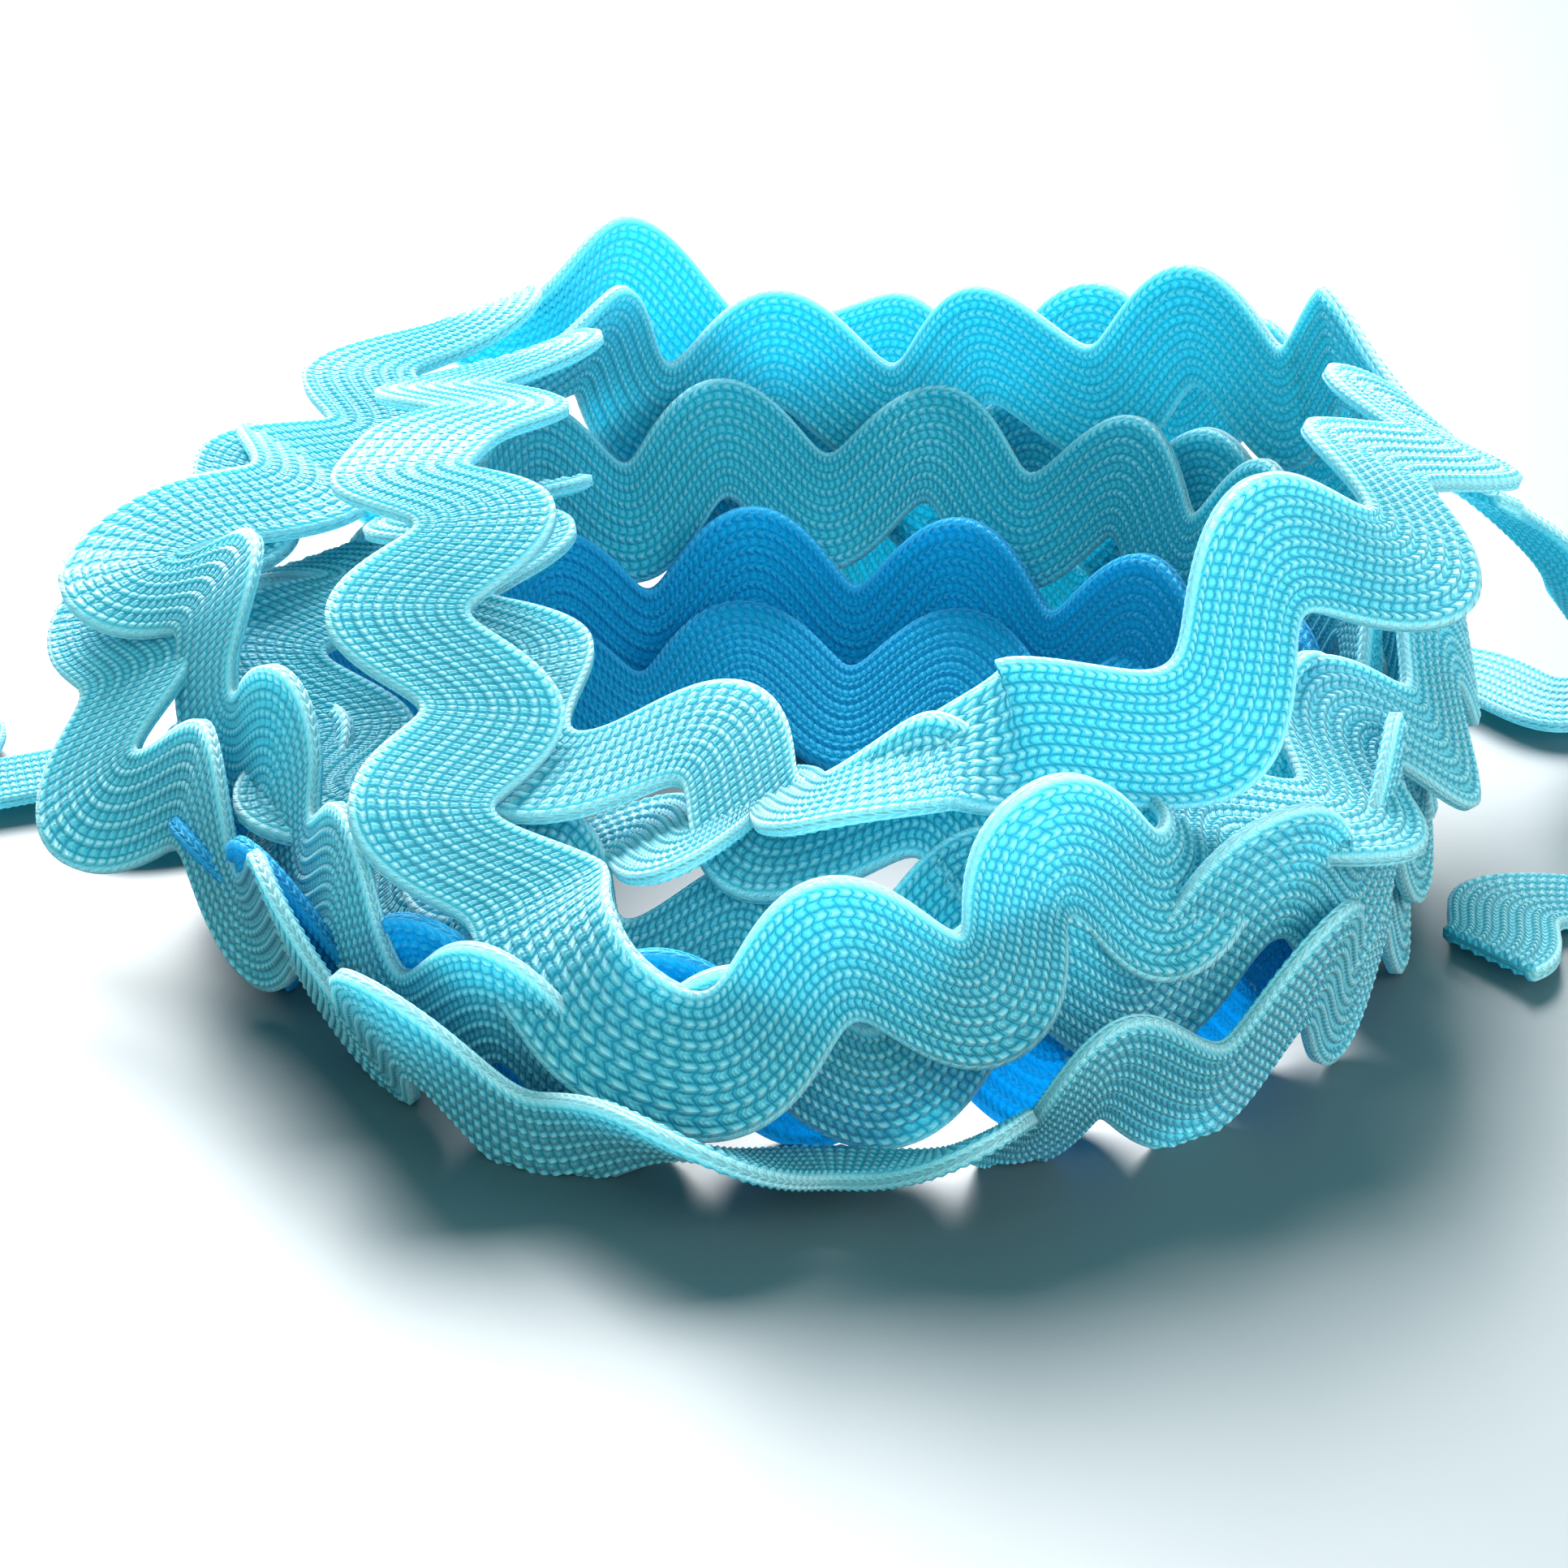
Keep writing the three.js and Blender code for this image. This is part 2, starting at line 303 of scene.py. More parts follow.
class RicRacBraid(bpy.types.PropertyGroup):
    """Sizes and colours of the braid"""

    width: FloatProperty(
        name="Braid width",
        description="Edge to edge, straight across the run of the strip",
        default=7.4 * MM,
        unit="LENGTH",
    )
    reach: FloatProperty(
        name="Wave reach",
        description="How far the braid swings to each side of its run",
        default=2.35 * MM,
        unit="LENGTH",
    )
    wave: FloatProperty(
        name="Wave length",
        description="From one crest of the zigzag to the next",
        default=12.5 * MM,
        unit="LENGTH",
    )
    turn: FloatProperty(
        name="Wave turn",
        description="How far the cross-section turns with the wave",
        default=0.25,
        subtype="ANGLE",
    )
    thickness: FloatProperty(
        name="Thickness",
        description="Over the tops of the ribs on both faces",
        default=1.05 * MM,
        unit="LENGTH",
    )
    ribs: IntProperty(
        name="Ribs",
        description="Ribs side by side across the strip, with a lower row of stitches between",
        default=7,
        min=3,
    )
    stitches: IntProperty(
        name="Stitches per wave",
        description="Stitches along one rib in each wave of the zigzag",
        default=32,
        min=8,
    )
    rib_depth: FloatProperty(
        name="Rib depth",
        description="Depth of the grooves between the ribs",
        default=0.2 * MM,
        unit="LENGTH",
    )
    stitch_depth: FloatProperty(
        name="Stitch depth",
        description="Depth of the dips between the stitches",
        default=0.1 * MM,
        unit="LENGTH",
    )
    hole_depth: FloatProperty(
        name="Hole depth",
        description="Extra depth of the small holes where four stitches meet",
        default=0.1 * MM,
        unit="LENGTH",
    )
    lip: FloatProperty(
        name="Lip thickness",
        description="Thickness right at the two edges, which are rounded off",
        default=0.56 * MM,
        unit="LENGTH",
    )
    ripple: FloatProperty(
        name="Ripple",
        description="How far the soft cloth wanders out of its plane",
        default=0.35 * MM,
        unit="LENGTH",
    )
    # Painted highlight: the tops of the stitches are paler than the flanks, a painted sheen on the
    # thread's own colour
    thread: FloatVectorProperty(
        name="Thread",
        description="Colour of the thread on the tops of the stitches",
        default=linear("#c6f6fa"),
        size=3,
        subtype="COLOR",
    )
    body: FloatVectorProperty(
        name="Body",
        description="Colour of the thread on the flanks of the stitches",
        default=linear("#7cdae6"),
        size=3,
        subtype="COLOR",
    )
    # Painted shade: deep between the stitches the colour is darker and bluer, standing in for the
    # shade there
    groove: FloatVectorProperty(
        name="Groove",
        description="Colour deep between the stitches, where light has crossed several threads",
        default=linear("#2ba8c2"),
        size=3,
        subtype="COLOR",
    )
    # Painted shade: faces turned to the roll's middle go towards this deeper colour, which stands in
    # for their shade
    inner: FloatVectorProperty(
        name="Inside colour",
        description="Colour of the turns inside, lit through other turns",
        default=linear("#12c6e0"),
        size=3,
        subtype="COLOR",
    )
    # Painted shade: the lowest turns inside go towards this still deeper blue, which stands in for
    # their shade
    lowest_painted_shade: FloatVectorProperty(
        name="Lowest colour",
        description="Colour of the lowest turns inside, lit through all the others",
        default=linear("#06bcf0"),
        size=3,
        subtype="COLOR",
    )
    # How much painted shade the faces turned to the roll's middle get
    painted_shade_share: FloatProperty(
        name="Inward deepening",
        description="How far the colours of faces turned to the roll's middle go to the inside colour",
        default=0.5,
        min=0,
        max=1,
    )
    passing: FloatProperty(
        name="Light passing",
        description="Share of the light that goes into the cloth, and comes out at the other face",
        default=0.42,
        min=0,
        max=1,
    )
    # The lips' pale colour: partly the smooth edge's own pale tone, partly a painted highlight where
    # the thin edges catch the back light
    lip_colour_and_highlight: FloatVectorProperty(
        name="Lip",
        description="Colour of the smooth edges, where the threads turn back",
        default=linear("#def9fb"),
        size=3,
        subtype="COLOR",
    )
    glow: FloatVectorProperty(
        name="Glow",
        description="Colour that light takes on as it enters or leaves the cloth",
        default=linear("#76e8f4"),
        size=3,
        subtype="COLOR",
    )


class RicRacStage(bpy.types.PropertyGroup):
    """The floor, the light and the camera"""

    floor: FloatVectorProperty(
        name="Floor",
        description="The floor's own grey, which the strong light turns pale",
        default=linear("#5d6265"),
        size=3,
        subtype="COLOR",
    )
    sky: FloatProperty(
        name="Room light",
        description="Strength of the even light all round",
        default=0.55,
        min=0,
    )
    tint: FloatVectorProperty(
        name="Room tint",
        description="Colour of the light that the room and the front light throw back",
        default=linear("#70e8f4"),
        size=3,
        subtype="COLOR",
    )
    back: FloatProperty(
        name="Back light",
        description="Power of the large soft light behind and above",
        default=23.0,
        unit="POWER",
    )
    front: FloatProperty(
        name="Front light",
        description="Power of the low, soft light in front",
        default=3.5,
        unit="POWER",
    )
    side: FloatProperty(
        name="Side light",
        description="Power of the soft light at the right",
        default=1.6,
        unit="POWER",
    )
    lens: FloatProperty(
        name="Lens",
        description="Focal length on a 36 mm sensor",
        default=96.43,
        subtype="DISTANCE_CAMERA",
    )
    pitch: FloatProperty(
        name="Pitch",
        description="How far the camera looks down",
        default=math.radians(22.15),
        subtype="ANGLE",
    )


# The middle line of a run, and the steps of its wave


def through(at, value, x):
    """Cubic through all the stations, level with the chord of its two neighbours at each one."""
    at = np.asarray(at, float)
    value = np.asarray(value, float)
    i = np.clip(np.searchsorted(at, x, side="right") - 1, 0, len(at) - 2)
    before = np.maximum(np.arange(len(at)) - 1, 0)
    after = np.minimum(np.arange(len(at)) + 1, len(at) - 1)
    slope = (value[after] - value[before]) / (at[after] - at[before])
    h = at[i + 1] - at[i]
    t = (x - at[i]) / h
    s = 1 - t
    return (
        s * s * (1 + 2 * t) * value[i]
        + t * t * (3 - 2 * t) * value[i + 1]
        + h * t * s * (s * slope[i] - t * slope[i + 1])
    )


class Run:
    """The strip's middle line over a table of stations: points, leans and counted waves."""

    def __init__(self, rows, round_ring, wave):
        self.rows = rows
        self.round_ring = round_ring
        self.at = np.array([r[0] for r in rows] if round_ring else range(len(rows)), float)
        self.columns = [[r[k] for r in rows] for k in range(4)]
        phase = [r[4] if round_ring and len(r) > 4 else None for r in rows]
        self.count = [0.0]
        for i in range(1, len(rows)):
            x = np.linspace(self.at[i - 1], self.at[i], 25)
            length = np.linalg.norm(np.diff(self.point(x), axis=0), axis=1).sum()
            free = self.count[-1] + length / wave
            known = phase[i]
            self.count.append(free if known is None else math.floor(free - known + 0.5) + known)

    def point(self, x):
        one, two, three, _ = self.columns
        if not self.round_ring:
            return np.stack([through(self.at, c, x) for c in (one, two, three)], -1)
        radius = through(self.at, two, x)
        a = np.radians(x)
        height = through(self.at, three, x)
        return np.stack([radius * np.sin(a), -radius * np.cos(a), height], -1)

    def directions(self, x):
        """Along the strip, and across it, both of length one."""
        step = (self.at[-1] - self.at[0]) * 2e-5
        ahead = self.point(np.minimum(x + step, self.at[-1]))
        along = ahead - self.point(np.maximum(x - step, self.at[0]))
        along /= np.linalg.norm(along, axis=1)[:, None]
        out = np.stack([along[:, 1], -along[:, 0], 0 * x], -1)
        out /= np.linalg.norm(out, axis=1)[:, None]
        up = np.cross(out, along)
        up *= np.where(up[:, 2] < 0, -1, 1)[:, None]
        lean = np.radians(through(self.at, self.columns[3], x))[:, None]
        return along, up * np.cos(lean) + out * np.sin(lean)


STEPS_PER_STITCH = 4  # steps of the middle line; a row of the mesh takes every second one


def even_stitches(waves, braid):
    """The number of stitches up to each wave count: even along the zigzag, not along the run."""
    w = np.linspace(0, 1, 401)
    steepness = 2 * math.pi * braid.reach / braid.wave
    speed = np.sqrt(1 + (steepness * np.sin(2 * math.pi * w)) ** 2)
    path = np.concatenate([[0], np.cumsum((speed[1:] + speed[:-1]) / 2)])
    whole = np.floor(waves)
    return (whole + np.interp(waves - whole, w, path / path[-1])) * braid.stitches


def route_mesh(name, run, start, end, braid):
    """The middle line between two places as loose points, with what each step needs to know."""
    fine = np.linspace(start, end, 20000)
    waves = through(run.at, run.count, fine)
    stitches = np.maximum.accumulate(even_stitches(waves, braid))
    first = round(stitches[0])
    rows = round(stitches[-1]) - first
    step = np.linspace(stitches[0], stitches[-1], rows * STEPS_PER_STITCH + 1)
    x = np.interp(step, stitches, fine)
    along, across = run.directions(x)
    at = run.point(x)
    at[:, :2] -= MIDDLE
    mesh = bpy.data.meshes.new(name)
    mesh.vertices.add(len(x))
    mesh.vertices.foreach_set("co", (at * MM).ravel())
    for key, kind, values in (
        ("along", "FLOAT_VECTOR", along),
        ("across", "FLOAT_VECTOR", across),
        ("waves", "FLOAT", through(run.at, run.count, x)),
        ("stitches", "FLOAT", np.arange(len(x)) / STEPS_PER_STITCH + first),
    ):
        data = mesh.attributes.new(key, kind, "POINT").data
        data.foreach_set("vector" if kind == "FLOAT_VECTOR" else "value", values.ravel())
    return mesh


# The braid's own tree

MATH = "ShaderNodeMath"
VECTORS = "ShaderNodeVectorMath"
BRAID_SIZES = (
    ("Braid width", "NodeSocketFloat", "width"),
    ("Wave reach", "NodeSocketFloat", "reach"),
    ("Wave turn", "NodeSocketFloat", "turn"),
    ("Thickness", "NodeSocketFloat", "thickness"),
    ("Ribs", "NodeSocketInt", "ribs"),
    ("Rib depth", "NodeSocketFloat", "rib_depth"),
    ("Stitch depth", "NodeSocketFloat", "stitch_depth"),
    ("Hole depth", "NodeSocketFloat", "hole_depth"),
    ("Lip thickness", "NodeSocketFloat", "lip"),
    ("Ripple", "NodeSocketFloat", "ripple"),
)


def braid_tree():
    """A closed strip along the given middle line. Its rows follow the slanting stitches, a row
    in the dip and a row on the top of each, and its columns follow the ribs in the same way."""
    tree = bpy.data.node_groups.new("Flat braid", "GeometryNodeTree")
    face = tree.interface
    face.new_socket("Middle line", in_out="INPUT", socket_type="NodeSocketGeometry")
    for name, kind, _ in BRAID_SIZES:
        face.new_socket(name, in_out="INPUT", socket_type=kind)
    face.new_socket("Finish", in_out="INPUT", socket_type="NodeSocketMaterial")
    face.new_socket("Braid", in_out="OUTPUT", socket_type="NodeSocketGeometry")
    put(tree, "in", "NodeGroupInput")
    put(tree, "line", "GeometryNodeAttributeDomainSize", {}, ["in>Middle line"])
    put(tree, "index", "GeometryNodeInputIndex")
    for name, operation, values in (
        # Columns run round the section: over the face, round one lip, back over the other face
        ("face columns", "MULTIPLY_ADD", ["in>Ribs", 2, 1]),
        ("columns", "MULTIPLY", ["face columns", 2]),
        ("last step", "SUBTRACT", ["line>Point Count", 1]),
        ("last row", "DIVIDE", ["last step", 2]),
        ("column", "MODULO", ["index", "columns"]),
        ("row whole", "DIVIDE", ["index", "columns"]),
        ("row", "FLOOR", ["row whole"]),
        ("columns short", "SUBTRACT", ["face columns", 0.5]),
        ("is back", "GREATER_THAN", ["column", "columns short"]),
        ("half column", "DIVIDE", ["column", 2]),
        ("rib", "MULTIPLY_ADD", ["is back", 0.5, "half column"]),
        ("side", "MULTIPLY_ADD", ["is back", -2, 1]),
        # Place across the strip, from -0.5 to 0.5
        ("ribs and lip", "ADD", ["in>Ribs", 1]),
        ("back rib", "MULTIPLY", ["is back", "ribs and lip"]),
        ("rib on face", "SUBTRACT", ["rib", "back rib"]),
        ("share", "DIVIDE", ["rib on face", "in>Ribs"]),
        ("share centred", "SUBTRACT", ["share", 0.5]),
        ("place", "MULTIPLY", ["share centred", "side"]),
        # The slant: the stitches in a groove lie half a stitch on from those on the ribs
        ("double rib", "MULTIPLY", ["rib", 2]),
        ("zigzag", "PINGPONG", ["double rib", 1]),
        ("shift", "MULTIPLY_ADD", ["zigzag", STEPS_PER_STITCH / 2, -STEPS_PER_STITCH / 4]),
        ("rows left", "SUBTRACT", ["last row", "row"]),
        ("room", "MINIMUM", ["row", "rows left"]),
        ("room back", "MULTIPLY", ["room", -1]),
        ("shift capped", "MINIMUM", ["shift", "room"]),
        ("shift held", "MAXIMUM", ["shift capped", "room back"]),
        ("step float", "MULTIPLY_ADD", ["row", 2, "shift held"]),
        ("step", "ROUND", ["step float"]),
        # Relief: down is 0 on a rib's top and 1 in its groove, dip is 1 between two stitches
        ("half", "MULTIPLY", ["in>Thickness", 0.5]),
        ("down", "SUBTRACT", [1, "zigzag"]),
        ("is top row", "PINGPONG", ["row", 1]),
        ("dip", "SUBTRACT", [1, "is top row"]),
        ("groove", "MULTIPLY", ["down", "in>Rib depth"]),
        ("grooved", "SUBTRACT", ["half", "groove"]),
        ("dent", "MULTIPLY", ["dip", "in>Stitch depth"]),
        ("dented", "SUBTRACT", ["grooved", "dent"]),
        ("hole", "MULTIPLY", ["dip", "in>Hole depth"]),
        ("hole here", "MULTIPLY", ["hole", "down"]),
        ("holed", "SUBTRACT", ["dented", "hole here"]),
        ("off middle", "ABSOLUTE", ["place"]),
        ("is lip", "GREATER_THAN", ["off middle", 0.499]),
        ("lip half", "MULTIPLY", ["in>Lip thickness", 0.5]),
        ("lip change", "SUBTRACT", ["lip half", "holed"]),
        ("height", "MULTIPLY_ADD", ["is lip", "lip change", "holed"]),
        ("raised", "MULTIPLY", ["height", "side"]),
    ):
        put(tree, name, MATH, {"operation": operation}, values)
    for name, kind in (
        ("along", "FLOAT_VECTOR"),
        ("across", "FLOAT_VECTOR"),
        ("waves", "FLOAT"),
        ("stitches", "FLOAT"),
    ):
        key = name + " there"
        put(tree, key, "GeometryNodeInputNamedAttribute", {"data_type": kind}, {"Name": name})
        inputs = {"Geometry": "in>Middle line", "Value": key, "Index": "step"}
        put(tree, name, "GeometryNodeSampleIndex", {"data_type": kind}, inputs)
    put(tree, "position", "GeometryNodeInputPosition")
    inputs = {"Geometry": "in>Middle line", "Value": "position", "Index": "step"}
    put(tree, "middle", "GeometryNodeSampleIndex", {"data_type": "FLOAT_VECTOR"}, inputs)
    inputs = {"Vector": "middle", "Scale": 90.0, "Detail": 1.0}
    put(tree, "ripple noise", "ShaderNodeTexNoise", {}, inputs)
    for name, operation, values in (
        ("wave angle", "MULTIPLY", ["waves", math.tau]),
        ("swing cosine", "COSINE", ["wave angle"]),
        ("swing", "MULTIPLY", ["swing cosine", "in>Wave reach"]),
        ("swing sine", "SINE", ["wave angle"]),
        ("turn back", "MULTIPLY", ["swing sine", "in>Wave turn"]),
        ("turn sine", "SINE", ["turn back"]),
        ("turn cosine", "COSINE", ["turn back"]),
        ("off", "MULTIPLY", ["place", "in>Braid width"]),
        ("go along", "MULTIPLY", ["off", "turn sine"]),
        ("go across", "MULTIPLY_ADD", ["off", "turn cosine", "swing"]),
        ("noise centred", "SUBTRACT", ["ripple noise>Fac", 0.5]),
        ("wander", "MULTIPLY", ["noise centred", "in>Ripple"]),
        ("go out", "MULTIPLY_ADD", ["wander", 4, "raised"]),
    ):
        put(tree, name, MATH, {"operation": operation}, values)
    put(tree, "face", VECTORS, {"operation": "CROSS_PRODUCT"}, ["along", "across"])
    last = "middle"
    for name, direction, distance in (
        ("moved along", "along", "go along"),
        ("moved across", "across", "go across"),
        ("moved out", "face", "go out"),
    ):
        inputs = {0: direction, "Scale": distance}
        put(tree, name + " by", VECTORS, {"operation": "SCALE"}, inputs)
        put(tree, name, VECTORS, {"operation": "ADD"}, [last, name + " by"])
        last = name
    # Nothing sinks into the table
    put(tree, "apart", "ShaderNodeSeparateXYZ", {}, [last])
    put(tree, "above", MATH, {"operation": "MAXIMUM"}, ["apart>Z", 0.02 * MM])
    put(tree, "placed", "ShaderNodeCombineXYZ", {}, ["apart>X", "apart>Y", "above"])
    inputs = {"Vertices": "columns", "Side Segments": "last row"}
    put(tree, "tube", "GeometryNodeMeshCylinder", {"fill_type": "NGON"}, inputs)
    inputs = {"Geometry": "tube>Mesh", "Position": "placed"}
    put(tree, "strip", "GeometryNodeSetPosition", {}, inputs)
    last = "strip"
    for name, value in (("stitches", "stitches"), ("rib", "rib"), ("row", "row")):
        key = "keep " + name
        inputs = {"Geometry": last, "Name": name, "Value": value}
        put(tree, key, "GeometryNodeStoreNamedAttribute", {"data_type": "FLOAT"}, inputs)
        last = key
    put(tree, "smooth", "GeometryNodeSetShadeSmooth", {}, [last])
    put(tree, "whole", "GeometryNodeRealizeInstances", {}, ["smooth"])
    inputs = {"Geometry": "whole", "Material": "in>Finish"}
    put(tree, "finished", "GeometryNodeSetMaterial", {}, inputs)
    put(tree, "out", "NodeGroupOutput", {}, ["finished"])
    return tree


def lay_out(mesh, braid):
    """Two flat maps of a strip. "braid" counts stitches along it and ribs round it, for its
    pattern. "OFBake" cuts it into lanes, one above the other, and fills a square."""
    corners = np.empty(len(mesh.loops), int)
    mesh.loops.foreach_get("vertex_index", corners)
    sizes = np.empty(len(mesh.polygons), int)
    mesh.polygons.foreach_get("loop_total", sizes)
    starts = np.concatenate([[0], np.cumsum(sizes)[:-1]])
    owner = np.repeat(np.arange(len(sizes)), sizes)
    kept = {}
    for key in ("stitches", "rib", "row"):
        kept[key] = np.empty(len(mesh.vertices), np.float32)
        mesh.attributes[key].data.foreach_get("value", kept[key])
        kept[key] = kept[key][corners].astype(float)
        mesh.attributes.remove(mesh.attributes[key])
    along, around = kept["stitches"], kept["rib"]
    round_all = 2 * braid.ribs + 2
    widest = np.maximum.reduceat(around, starts)[owner]
    around = np.where(widest - around > braid.ribs + 1.5, around + round_all, around)
    capped = (sizes > 4)[owner]
    around = np.where(capped, kept["rib"], around)
    row = np.minimum.reduceat(kept["row"], starts)[owner]
    begin, rows = along.min(), row.max() + 1
    per_stitch = braid.wave * ZIGZAG / braid.stitches / (braid.width / braid.ribs)
    lanes = max(1, math.ceil(math.sqrt((along.max() - begin) * per_stitch / round_all)))
    per_lane = math.ceil(rows / lanes)
    lane = np.floor(row / per_lane)
    reach = per_lane / 2 + 2
    u = (along - begin - lane * per_lane / 2 + 1) / reach
    v = (lane + 0.02 + 0.96 * around / round_all) / lanes
    angle = math.tau * kept["rib"] / round_all
    end = np.where(kept["row"] > rows / 2, 0.04, 0.02)
    u = np.where(capped, end + 0.008 * np.cos(angle), 0.002 + 0.996 * u)
    v = np.where(capped, 0.985 + 0.008 * np.sin(angle), 0.97 * v)
    for name, values in (("braid", (along, around)), ("OFBake", (u, v))):
        layer = mesh.uv_layers.new(name=name)
        layer.data.foreach_set("uv", np.stack(values, -1).astype(np.float32).ravel())
    mesh.uv_layers["braid"].active_render = True


def braid_piece(name, node, run, start, end):
    """One length of the braid as a piece that stands for its solid."""
    braid = bpy.context.scene.ricrac_braid
    mesh = route_mesh(name + " line", run, start, end, braid)
    line = bpy.data.objects.new(name + " line", mesh)
    bpy.context.collection.objects.link(line)
    tree = bpy.data.node_groups.get("Flat braid") or braid_tree()
    # The lowest turns get the finish with the deeper painted shade
    kind, deep, towards = DEEP_SHADE_FINISH if name in DEEP_SHADE_PIECES else FINISH
    finish = bpy.data.materials.get(kind) or braid_finish(kind, deep, getattr(braid, towards))
    modifier = line.modifiers.new("Flat braid", "NODES")
    modifier.node_group = tree
    chosen = {key: getattr(braid, field) for key, _, field in BRAID_SIZES}
    chosen["Finish"] = finish
    for item in tree.interface.items_tree:
        if item.in_out == "INPUT" and item.name in chosen:
            modifier[item.identifier] = chosen[item.name]
    made = line.evaluated_get(bpy.context.evaluated_depsgraph_get())
    solid = bpy.data.meshes.new_from_object(made)
    solid.name = name
    line.modifiers.remove(modifier)
    bpy.data.objects.remove(line)
    bpy.data.meshes.remove(mesh)
    lay_out(solid, braid)
    piece = bpy.data.objects.new(name, solid)
    bpy.context.collection.objects.link(piece)
    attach(piece, "root")
    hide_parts(node)
    x = np.linspace(start, end, 2000)
    length = np.linalg.norm(np.diff(run.point(x), axis=0), axis=1).sum() * MM
    # The zigzag strip is wider along its slopes than straight across, so it holds more cloth
    print(f"{name}: {length * 1000:.0f} mm, {sum(len(p.vertices) - 2 for p in solid.polygons)} tris")
    return piece


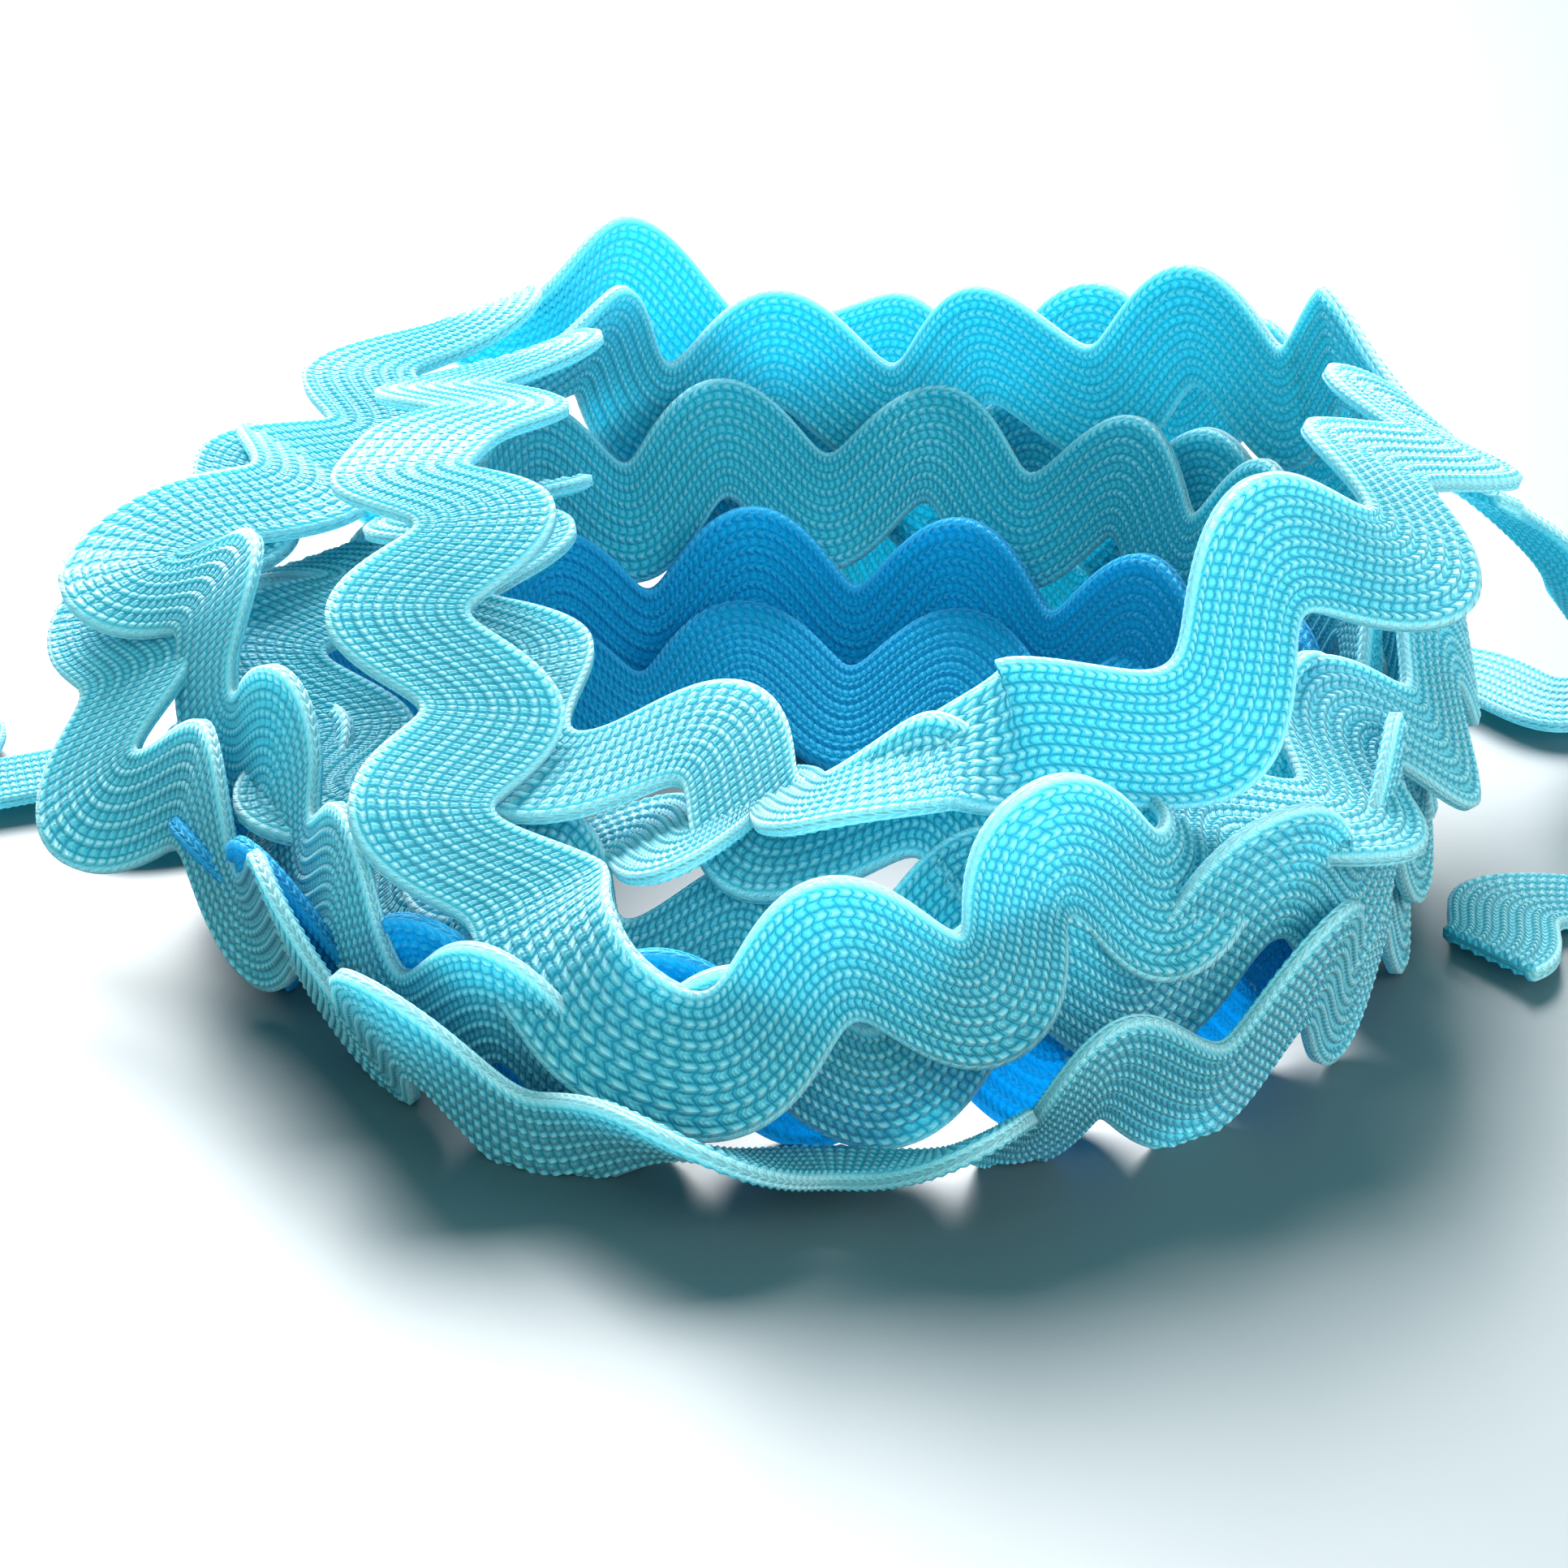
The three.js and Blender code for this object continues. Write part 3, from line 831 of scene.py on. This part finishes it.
# Polyester thread braided flat. Each stitch is a bundle of fine, shiny filaments, so its top carries a
# soft, whitish sheen, given by the shader and also painted into the colour as a highlight; some light
# passes the whole cloth; and the grooves carry painted shade, deeper and bluer, where light has
# crossed several threads.
def braid_finish(name, deep, inner):
    """The braid's material. "deep" is how far its colours go to the inner colour, a painted shade, at
    the least.
    """
    braid = bpy.context.scene.ricrac_braid
    material = bpy.data.materials.new(name)
    material.use_nodes = True
    tree = material.node_tree
    tree.nodes.clear()
    put(tree, "map", "ShaderNodeUVMap", {"uv_map": "braid"})
    put(tree, "apart", "ShaderNodeSeparateXYZ", {}, ["map"])
    put(tree, "place", "ShaderNodeTexCoord")
    for name, operation, values in (
        # One unit of x is a stitch of 0.5 mm, one unit of y a rib of 1.1 mm
        ("double rib", "MULTIPLY", ["apart>Y", 2]),
        ("zigzag", "PINGPONG", ["double rib", 1]),
        ("slanted", "MULTIPLY_ADD", ["zigzag", -0.5, "apart>X"]),
        ("phase", "ADD", ["slanted", 0.25]),
        ("stitch angle", "MULTIPLY", ["phase", math.pi]),
        ("stitch wave", "SINE", ["stitch angle"]),
        ("stitch", "ABSOLUTE", ["stitch wave"]),
        # A row of stitches on each rib and a lower one in each groove
        ("row angle", "MULTIPLY", ["double rib", math.pi]),
        ("row wave", "COSINE", ["row angle"]),
        ("row", "ABSOLUTE", ["row wave"]),
        ("stitch round", "MULTIPLY", ["stitch", "row"]),
        ("rib share", "MULTIPLY_ADD", ["zigzag", 0.6, 0.4]),
        ("mound", "MULTIPLY", ["stitch round", "rib share"]),
        # Filaments: four to a stitch, drawn as coarse as they need to be to show
        ("filament angle", "MULTIPLY", ["phase", math.tau * 4]),
        ("filament wave", "SINE", ["filament angle"]),
    ):
        put(tree, name, MATH, {"operation": operation}, values)
    put(tree, "fibres", "ShaderNodeTexNoise", {}, {"Vector": "place>Object", "Scale": 3500.0})
    put(tree, "dye", "ShaderNodeTexNoise", {}, {"Vector": "place>Object", "Scale": 60.0})
    for name, operation, values in (
        ("filaments", "MULTIPLY_ADD", ["filament wave", 0.04, "mound"]),
        ("relief", "MULTIPLY_ADD", ["fibres>Fac", 0.25, "filaments"]),
    ):
        put(tree, name, MATH, {"operation": operation}, values)
    # The lip is smooth and pale all over, its paleness partly a painted highlight: its middle is half
    # a rib past the last one
    lips = braid.ribs + 1
    for name, operation, values in (
        ("past the lip", "ADD", ["apart>Y", 0.5]),
        ("from the lip", "PINGPONG", ["past the lip", lips / 2]),
        ("top tone", "MULTIPLY_ADD", ["mound", 0.95, 0.05]),
    ):
        put(tree, name, MATH, {"operation": operation}, values)
    inputs = {"Value": "from the lip", 1: 0.55, 2: 0.95, 3: 1.0, 4: 0.0}
    put(tree, "lip", "ShaderNodeMapRange", {}, inputs)
    put(tree, "tone", MATH, {"operation": "MAXIMUM"}, ["top tone", "lip"])
    # The colour follows the relief: painted shade deep in the grooves, the body colour on the flanks,
    # a painted highlight on the tops of the stitches and on the lips; the light through the cloth gets
    # the same painted shade in the grooves
    for name, low, middle, top in (
        ("depth", braid.groove, braid.body, braid.thread),
        ("glow", braid.groove, braid.glow, braid.glow),
    ):
        stops = put(tree, name, "ShaderNodeValToRGB", {}, ["tone"]).color_ramp.elements
        stops.new(0.4)
        stops.new(0.8)
        places = (0.05, 0.32, 0.6, 0.92)
        for stop, place, colour in zip(stops, places, (low, middle, top, braid.lip_colour_and_highlight)):
            stop.position = place
            stop.color = (*colour, 1)
    # Painted shade: faces turned to the roll's middle see only other turns, so their colours are
    # painted deeper, and they get less sheen and gloss
    put(tree, "face", "ShaderNodeNewGeometry")
    middle = (-MIDDLE[0] * MM, -MIDDLE[1] * MM, 0)
    for name, operation, values in (
        ("flat place", "MULTIPLY", ["place>Object", (1, 1, 0)]),
        ("from middle", "SUBTRACT", ["flat place", middle]),
        ("outward", "NORMALIZE", ["from middle"]),
        ("facing out", "DOT_PRODUCT", ["outward", "place>Normal"]),
    ):
        put(tree, name, VECTORS, {"operation": operation}, values)
    inputs = {"Value": "facing out>Value", 1: 0.1, 2: -0.7, 3: deep, 4: max(deep, braid.painted_shade_share)}
    put(tree, "inward", "ShaderNodeMapRange", {}, inputs)
    inner = (*inner, 1)
    put(tree, "depth here", "ShaderNodeMixRGB", {}, {0: "inward", 1: "depth", 2: inner})
    put(tree, "glow here", "ShaderNodeMixRGB", {}, {0: "inward", 1: "glow", 2: inner})
    put(tree, "shade", "ShaderNodeMapRange", {}, {"Value": "dye>Fac", 3: 0.92, 4: 1.08})
    inputs = {"Color": "depth here", "Value": "shade"}
    put(tree, "dyed", "ShaderNodeHueSaturation", {}, inputs)
    put(tree, "sheen", "ShaderNodeMapRange", {}, {"Value": "inward", 3: 0.5, 4: 0.0})
    put(tree, "gloss", "ShaderNodeMapRange", {}, {"Value": "inward", 3: 0.5, 4: 0.1})
    inputs = {"Height": "relief", "Distance": 0.3 * MM, "Strength": 1.0}
    put(tree, "bump", "ShaderNodeBump", {}, inputs)
    inputs = {
        "Base Color": "dyed",
        "Roughness": 0.42,
        "Specular IOR Level": "gloss",
        "Sheen Weight": "sheen",
        "Sheen Roughness": 0.4,
        "Normal": "bump",
    }
    put(tree, "thread", "ShaderNodeBsdfPrincipled", {}, inputs)
    # Light passes the thin, open cloth, and comes out a purer blue than it went in
    inputs = {"Color": "glow here", "Normal": "bump"}
    put(tree, "light through", "ShaderNodeBsdfTranslucent", {}, inputs)
    # What has come in through one face goes out through the other
    put(tree, "passing", MATH, {"operation": "MAXIMUM"}, ["face>Backfacing", braid.passing])
    inputs = {0: "passing", 1: "thread", 2: "light through"}
    put(tree, "cloth", "ShaderNodeMixShader", {}, inputs)
    put(tree, "out", "ShaderNodeOutputMaterial", {}, ["cloth"])
    return material


class RICRAC_OT_winding(bpy.types.Operator):
    """Make the roll: the whole winding, in five lengths that join end to end"""

    bl_idname = "ricrac.winding"
    bl_label = "Winding"

    def execute(self, context):
        braid = context.scene.ricrac_braid
        rows = sum((part for _, part in WINDING), ())
        run = Run(rows, True, braid.wave / MM)
        starts = [part[0][0] for _, part in WINDING] + [rows[-1][0]]
        for (name, _), start, end in zip(WINDING, starts, starts[1:]):
            braid_piece(name, "roll", run, start, end)
        return {"FINISHED"}


class RICRAC_OT_loose(bpy.types.Operator):
    """Make the loose loop and the two ends that lie around the roll"""

    bl_idname = "ricrac.loose"
    bl_label = "Loose lengths"

    def execute(self, context):
        braid = context.scene.ricrac_braid
        for name, node, rows in LOOSE:
            run = Run(rows, False, braid.wave / MM)
            braid_piece(name, node, run, run.at[0], run.at[-1])
        return {"FINISHED"}


class RICRAC_OT_stage(bpy.types.Operator):
    """Set up the pale floor, the soft light and the camera"""

    bl_idname = "ricrac.stage"
    bl_label = "Stage"

    def execute(self, context):
        scene = context.scene
        stage = scene.ricrac_stage
        mesh = bpy.data.meshes.new("floor")
        size = 3.0
        corners = [(-size, -size, 0), (size, -size, 0), (size, size, 0), (-size, size, 0)]
        mesh.from_pydata(corners, [], [(0, 1, 2, 3)])
        floor = bpy.data.objects.new("floor", mesh)
        context.collection.objects.link(floor)
        # Smooth matt laminate with a faint, broad gloss: a grey that the strong light turns pale
        material = bpy.data.materials.new("Matt laminate")
        material.use_nodes = True
        shader = material.node_tree.nodes["Principled BSDF"]
        shader.inputs["Base Color"].default_value = (*stage.floor, 1)
        shader.inputs["Roughness"].default_value = 0.5
        mesh.materials.append(material)
        world = bpy.data.worlds.new("Bright room")
        world.use_nodes = True
        scene.world = world
        # The room seen past the floor is bright and white, the light that it gives is dimmer
        room = world.node_tree
        room.nodes.clear()
        put(room, "ray", "ShaderNodeLightPath")
        inputs = {0: "ray>Is Camera Ray", 3: stage.sky, 4: 1.1}
        put(room, "strength", "ShaderNodeMapRange", {}, inputs)
        inputs = {0: "ray>Is Camera Ray", 1: (*stage.tint, 1), 2: (1, 1, 1, 1)}
        put(room, "colour", "ShaderNodeMixRGB", {}, inputs)
        inputs = {"Color": "colour", "Strength": "strength"}
        put(room, "light", "ShaderNodeBackground", {}, inputs)
        put(room, "out", "ShaderNodeOutputWorld", {}, ["light"])
        for name, power, size, place, colour in (
            ("back light", stage.back, 0.5, (-0.1, 0.46, 0.44), (1, 1, 1)),
            ("side light", stage.side, 0.3, (0.4, -0.25, 0.2), (0.9, 1, 1)),
            ("front light", stage.front, 0.8, (-0.05, -0.6, 0.3), (0.5, 1, 1)),
        ):
            lamp = bpy.data.lights.new(name, "AREA")
            lamp.energy = power
            lamp.color = colour
            lamp.size = size
            thing = bpy.data.objects.new(name, lamp)
            thing.location = place
            aim = Vector((0, 0, 0.01)) - Vector(place)
            thing.rotation_euler = aim.to_track_quat("-Z", "Y").to_euler()
            context.collection.objects.link(thing)
        camera = bpy.data.cameras.new("camera")
        camera.lens = stage.lens
        camera.sensor_width = 36
        camera.clip_start = 0.01
        eye = bpy.data.objects.new("camera", camera)
        eye.location = Vector((EYE[0] - MIDDLE[0], EYE[1] - MIDDLE[1], EYE[2])) * MM
        eye.rotation_euler = Euler((math.pi / 2 - stage.pitch, 0, 0))
        context.collection.objects.link(eye)
        scene.camera = eye
        scene.view_settings.view_transform = "Standard"
        return {"FINISHED"}


class RICRAC_PT_panel(bpy.types.Panel):
    """The braid's sizes and colours, the stage, and what makes them"""

    bl_label = "Ric rac roll"
    bl_idname = "RICRAC_PT_panel"
    bl_space_type = "VIEW_3D"
    bl_region_type = "UI"
    bl_category = "Ric rac"

    def draw(self, context):
        for group, operators in (
            (context.scene.ricrac_braid, ("ricrac.winding", "ricrac.loose")),
            (context.scene.ricrac_stage, ("ricrac.stage",)),
        ):
            box = self.layout.box()
            for key in type(group).__annotations__:
                box.prop(group, key)
            for operator in operators:
                box.operator(operator)


CLASSES = (
    RicRacBraid,
    RicRacStage,
    RICRAC_OT_winding,
    RICRAC_OT_loose,
    RICRAC_OT_stage,
    RICRAC_PT_panel,
)


def register():
    for cls in CLASSES:
        bpy.utils.register_class(cls)
    bpy.types.Scene.ricrac_braid = PointerProperty(type=RicRacBraid)
    bpy.types.Scene.ricrac_stage = PointerProperty(type=RicRacStage)


def unregister():
    del bpy.types.Scene.ricrac_stage
    del bpy.types.Scene.ricrac_braid
    for cls in reversed(CLASSES):
        bpy.utils.unregister_class(cls)


def main():
    register()
    bpy.ops.ricrac.stage()
    bpy.ops.ricrac.winding()
    bpy.ops.ricrac.loose()


if __name__ == "__main__":
    main()
